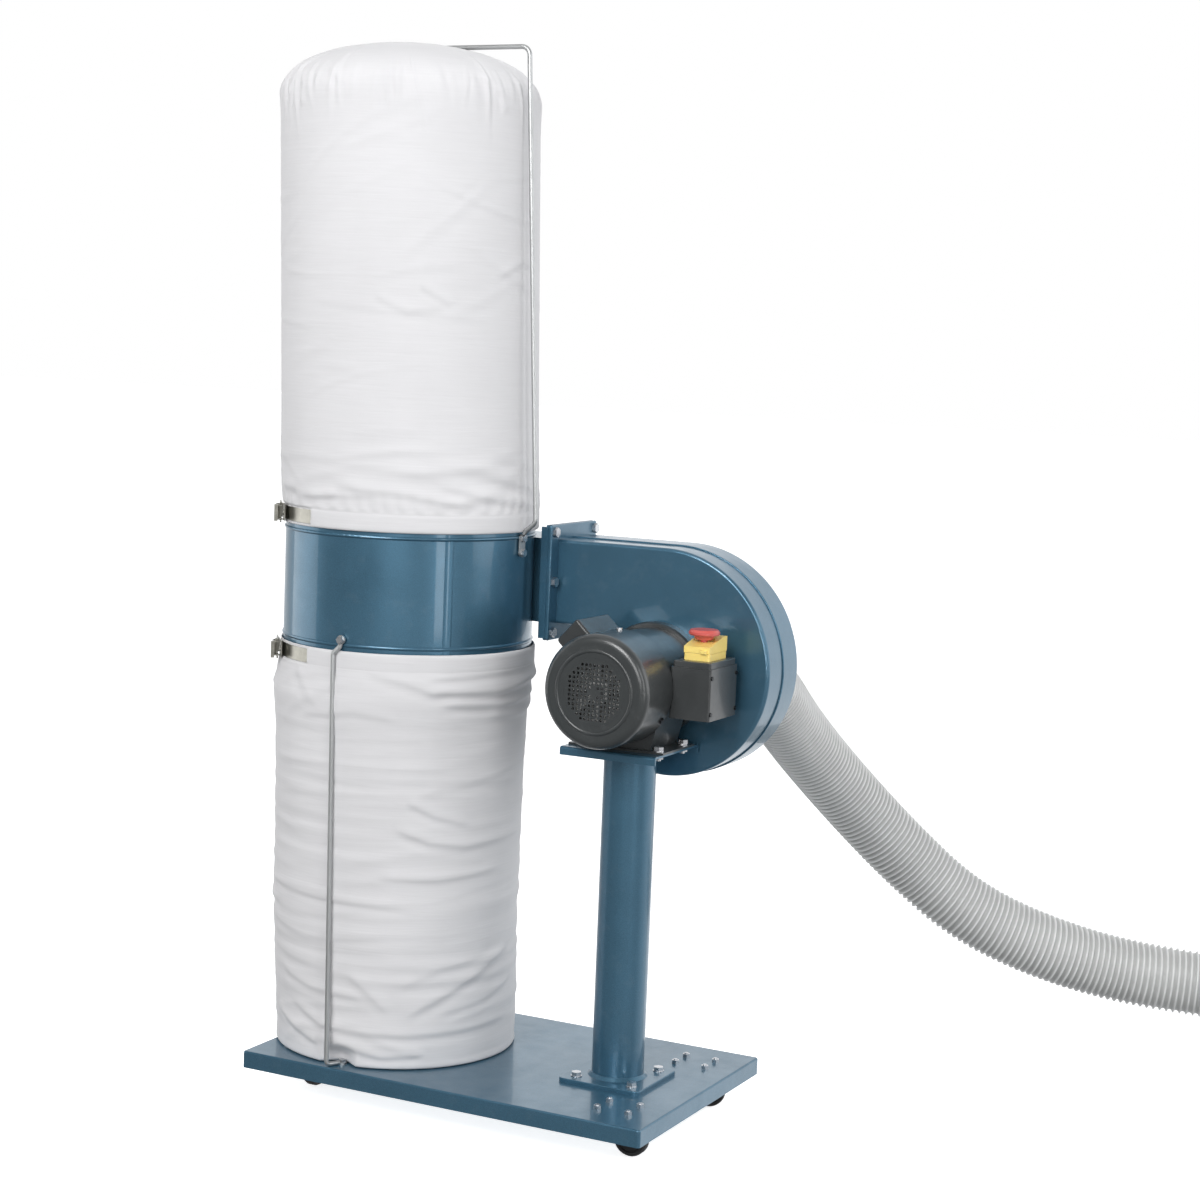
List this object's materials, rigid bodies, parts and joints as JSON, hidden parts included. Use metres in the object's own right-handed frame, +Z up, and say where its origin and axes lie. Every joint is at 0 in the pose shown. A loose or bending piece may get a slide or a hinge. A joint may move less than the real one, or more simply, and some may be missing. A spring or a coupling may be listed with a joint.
{
  "type": "dust collector",
  "caption": "Mobile dust collector: motor-driven blower on a post over a castored tray, steel drum between a filter bag and a collecting bag, ribbed flexible inlet duct.",
  "frame": {"origin": "middle of the footprint of everything but the duct and its cuff, on the floor under the casters", "axes": "+X from the bags toward the post and motor, +Y from the motor's side toward the inlet, +Z up"},
  "size_m": [1.6118, 1.3351, 1.5455],
  "materials": {
    "blue_paint": "metallic gloss",
    "black_paint": "semi gloss",
    "black_plastic": "satin",
    "yellow_plastic": "gloss",
    "red_plastic": "gloss",
    "green_plastic": "gloss",
    "zinc": "bright zinc plate",
    "steel": "plain",
    "aluminium": "cast",
    "rubber": "matte",
    "bag_cloth": "felt",
    "strap_cloth": "woven tape",
    "hose_plastic": "ribbed",
    "caster_black": "satin",
    "fan_plastic": "moulded"
  },
  "bodies": {
    "machine": {"base_plate": "blue_paint", "caster_plates": "zinc", "post_tube": "blue_paint", "post_foot_plate": "blue_paint", "motor_platform": "blue_paint", "motor_feet": "black_paint", "m8_bolts": "zinc", "m6_bolts": "zinc", "motor_body": "black_paint", "motor_front_bell": "aluminium", "motor_rear_bell": "black_paint", "fan_cowl": "black_paint", "cowl_guard": "black_paint", "motor_screws": "zinc", "stator_core": "steel", "motor_bearings": "steel", "capacitor_cover": "black_plastic", "capacitor": "aluminium", "switch_box": "black_plastic", "switch_box_lid": "black_plastic", "switch_frame": "yellow_plastic", "cable_gland": "black_plastic", "blower_front_shell": "blue_paint", "blower_rear_shell": "blue_paint", "inlet_collar": "blue_paint", "outlet_flange": "blue_paint", "flange_gasket": "blue_paint", "drum_duct": "blue_paint", "drum_ring": "blue_paint", "upper_bag": "bag_cloth", "lower_bag": "bag_cloth", "upper_band": "zinc", "lower_band": "zinc", "latch_bases": "zinc", "hanger_rod": "zinc", "stay_rods": "zinc", "bag_loop": "strap_cloth", "hose_clamp": "zinc", "flexible_hose": "hose_plastic", "hose_cuff": "rubber"},
    "rotor": {"motor_shaft": "steel", "impeller": "steel", "impeller_nut": "zinc", "cooling_fan": "fan_plastic"},
    "flap": {"switch_flap": "yellow_plastic"},
    "mushroom": {"mushroom_button": "red_plastic"},
    "start": {"start_button": "green_plastic"},
    "stop": {"stop_button": "red_plastic"},
    "caster_front_left": {"caster_fork_front_left": "caster_black"},
    "wheel_front_left": {"caster_wheel_front_left": "rubber"},
    "caster_front_right": {"caster_fork_front_right": "caster_black"},
    "wheel_front_right": {"caster_wheel_front_right": "rubber"},
    "caster_rear_left": {"caster_fork_rear_left": "caster_black"},
    "wheel_rear_left": {"caster_wheel_rear_left": "rubber"},
    "caster_rear_right": {"caster_fork_rear_right": "caster_black"},
    "wheel_rear_right": {"caster_wheel_rear_right": "rubber"},
    "upper_lever": {"upper_latch_lever": "zinc"},
    "upper_bail": {"upper_latch_bail": "zinc"},
    "lower_lever": {"lower_latch_lever": "zinc"},
    "lower_bail": {"lower_latch_bail": "zinc"}
  },
  "joints": [
    {"name": "rotor_spin", "type": "hinge", "parent": "machine", "child": "rotor", "pos_m": [0.20475, -0.00775, 0.644], "axis": [0, 1, 0], "continuous": true},
    {"name": "swivel_front_left", "type": "hinge", "parent": "machine", "child": "caster_front_left", "pos_m": [-0.25025, -0.13225, 0.05], "axis": [0, 0, 1], "continuous": true},
    {"name": "spin_front_left", "type": "hinge", "parent": "caster_front_left", "child": "wheel_front_left", "pos_m": [-0.25025, -0.11025, 0.025], "axis": [-1, 0, 0], "continuous": true},
    {"name": "swivel_front_right", "type": "hinge", "parent": "machine", "child": "caster_front_right", "pos_m": [0.26825, -0.13225, 0.05], "axis": [0, 0, 1], "continuous": true},
    {"name": "spin_front_right", "type": "hinge", "parent": "caster_front_right", "child": "wheel_front_right", "pos_m": [0.29025, -0.13225, 0.025], "axis": [0, 1, 0], "continuous": true},
    {"name": "swivel_rear_left", "type": "hinge", "parent": "machine", "child": "caster_rear_left", "pos_m": [-0.25025, 0.12325, 0.05], "axis": [0, 0, 1], "continuous": true},
    {"name": "spin_rear_left", "type": "hinge", "parent": "caster_rear_left", "child": "wheel_rear_left", "pos_m": [-0.27225, 0.12325, 0.025], "axis": [0, -1, 0], "continuous": true},
    {"name": "swivel_rear_right", "type": "hinge", "parent": "machine", "child": "caster_rear_right", "pos_m": [0.26825, 0.12325, 0.05], "axis": [0, 0, 1], "continuous": true},
    {"name": "spin_rear_right", "type": "hinge", "parent": "caster_rear_right", "child": "wheel_rear_right", "pos_m": [0.28892, 0.13077, 0.025], "axis": [-0.342, 0.9397, 0], "continuous": true},
    {"name": "flap_hinge", "type": "hinge", "parent": "machine", "child": "flap", "pos_m": [0.31075, 0.02625, 0.7044], "axis": [-1, 0, 0], "range_deg": [0, 80]},
    {"name": "mushroom_press", "type": "slide", "parent": "flap", "child": "mushroom", "axis": [0, 0, -1], "range_m": [0, 0.0025], "stiffness_N_per_m": 300, "springref_m": -0.002},
    {"name": "start_press", "type": "slide", "parent": "machine", "child": "start", "axis": [0, 0, -1], "range_m": [0, 0.0025], "stiffness_N_per_m": 400, "springref_m": -0.0015},
    {"name": "stop_press", "type": "slide", "parent": "machine", "child": "stop", "axis": [0, 0, -1], "range_m": [0, 0.0025], "stiffness_N_per_m": 400, "springref_m": -0.0015},
    {"name": "upper_lever_hinge", "type": "hinge", "parent": "machine", "child": "upper_lever", "pos_m": [-0.32134, -0.14044, 0.86], "axis": [0, 0, -1], "range_deg": [0, 110]},
    {"name": "upper_bail_hinge", "type": "hinge", "parent": "upper_lever", "child": "upper_bail", "pos_m": [-0.3126, -0.14757, 0.86], "axis": [0, 0, -1], "range_deg": [-110, 0]},
    {"name": "lower_lever_hinge", "type": "hinge", "parent": "machine", "child": "lower_lever", "pos_m": [-0.32134, -0.14044, 0.659], "axis": [0, 0, -1], "range_deg": [0, 110]},
    {"name": "lower_bail_hinge", "type": "hinge", "parent": "lower_lever", "child": "lower_bail", "pos_m": [-0.3126, -0.14757, 0.659], "axis": [0, 0, -1], "range_deg": [-110, 0]}
  ],
  "couplings": [
    {"joint": "stop_press", "follows": "mushroom_press", "ratio": 1},
    {"joint": "upper_bail_hinge", "follows": "upper_lever_hinge", "ratio": -1},
    {"joint": "lower_bail_hinge", "follows": "lower_lever_hinge", "ratio": -1}
  ]
}
